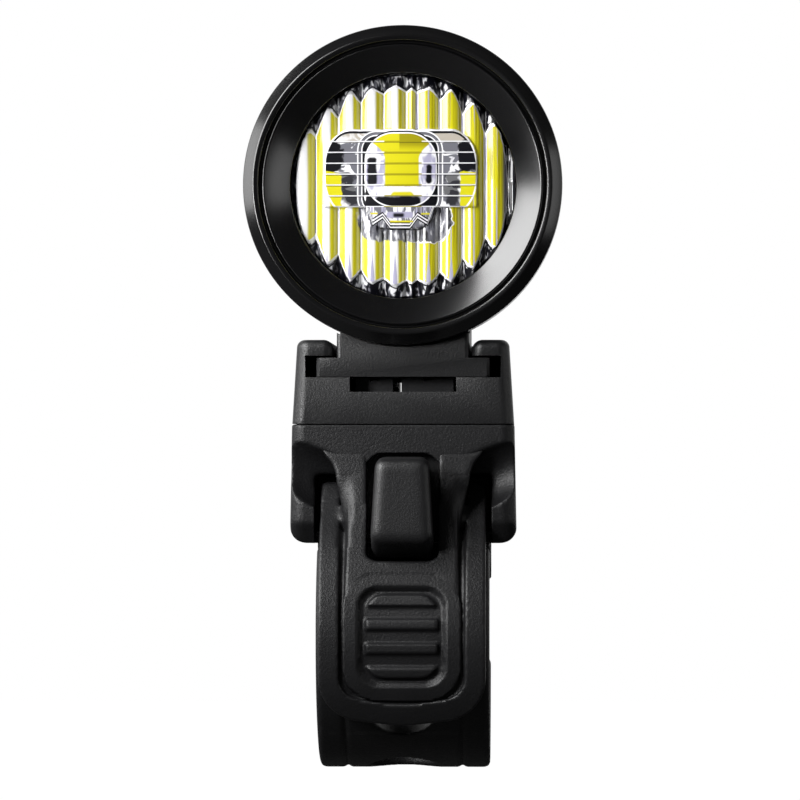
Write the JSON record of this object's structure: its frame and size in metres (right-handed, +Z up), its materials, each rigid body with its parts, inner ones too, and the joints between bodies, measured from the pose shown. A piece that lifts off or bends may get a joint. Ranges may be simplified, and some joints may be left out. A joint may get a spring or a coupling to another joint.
{
  "type": "bike headlight",
  "caption": "Round handlebar headlight with a fluted lens and a black bezel, sliding on a swivelling socket over a rubber strap mount.",
  "frame": {"origin": "on the handlebar's axis, in the middle of the strap's width", "axes": "+X along the handlebar, +Z up towards the lamp, -Y the way the lamp shines"},
  "size_m": [0.044, 0.104, 0.1033],
  "materials": {
    "bezel": "black anodised satin",
    "board": "white solder mask on aluminium",
    "button": "soft black",
    "cell_sleeve": "shrink sleeve",
    "circuit": "green solder mask",
    "contact": "plated",
    "holder": "white moulded",
    "housing": "black anodised, fine satin",
    "inner_nylon": "black, plain",
    "lens": "clear moulded plastic, glossy",
    "light_pipe": "frosted",
    "nylon": "black, fine texture",
    "phosphor": "yellow phosphor",
    "plain_aluminium": "turned",
    "rubber": "matt black with a fine grain",
    "seal": "matt",
    "spring_steel": "blackened",
    "steel": "zinc plated"
  },
  "bodies": {
    "base": {"base_core": "nylon", "saddle": "rubber", "bar_pad": "rubber", "anchor_pin": "steel", "swivel_screw": "steel", "swivel_washer": "steel", "swivel_nut": "steel"},
    "socket": {"slide_socket": "nylon", "latch_leaf": "spring_steel"},
    "release": {"release_button": "nylon"},
    "lamp": {"bezel": "bezel", "optic_lens": "lens", "lens_gasket": "seal", "optic_holder": "holder", "led_board": "board", "led_emitter": "phosphor", "heat_sink": "plain_aluminium", "lamp_housing": "housing", "cell_cradle": "inner_nylon", "battery_cell": "cell_sleeve", "battery_contacts": "contact", "driver_board": "circuit", "button_switch": "inner_nylon", "usb_socket": "steel", "rear_cap": "nylon", "rear_gasket": "seal", "rear_cap_screws": "steel", "status_lights": "light_pipe", "button_membrane": "seal", "rail_foot": "nylon", "rail_screws": "steel"},
    "power_button": {"power_button": "button"},
    "port_cover": {"port_cover": "rubber"},
    "tab": {"pull_tab": "rubber"},
    "strap": {"strap": "rubber"}
  },
  "joints": [
    {"name": "socket_swivel", "type": "hinge", "parent": "base", "child": "socket", "pos_m": [0, 0.002, 0.0295], "axis": [0, 0, 1], "range_deg": [-12, 12]},
    {"name": "lamp_slide", "type": "slide", "parent": "socket", "child": "lamp", "axis": [0, -1, 0], "range_m": [0, 0.036], "deforming": ["latch_leaf"]},
    {"name": "release_press", "type": "slide", "parent": "socket", "child": "release", "axis": [0, 0, -1], "range_m": [0, 0.001], "stiffness_N_per_m": 2000, "springref_m": -0.0003},
    {"name": "power_press", "type": "slide", "parent": "lamp", "child": "power_button", "axis": [0, 0, -1], "range_m": [0, 0.0005], "stiffness_N_per_m": 3000, "springref_m": -0.0003, "deforming": ["button_membrane"]},
    {"name": "port_cover_open", "type": "hinge", "parent": "lamp", "child": "port_cover", "pos_m": [0, 0.0798, 0.0722], "axis": [-1, 0, 0], "range_deg": [0, 110]},
    {"name": "tab_open", "type": "hinge", "parent": "base", "child": "tab", "pos_m": [0, -0.0166, 0.0225], "axis": [-1, 0, 0], "range_deg": [0, 105]},
    {"name": "strap_open", "type": "hinge", "parent": "base", "child": "strap", "pos_m": [0, 0.0182, 0.0105], "axis": [1, 0, 0], "range_deg": [0, 45]}
  ],
  "couplings": [
    {"joint": "strap_open", "follows": "tab_open", "ratio": 0.42}
  ]
}
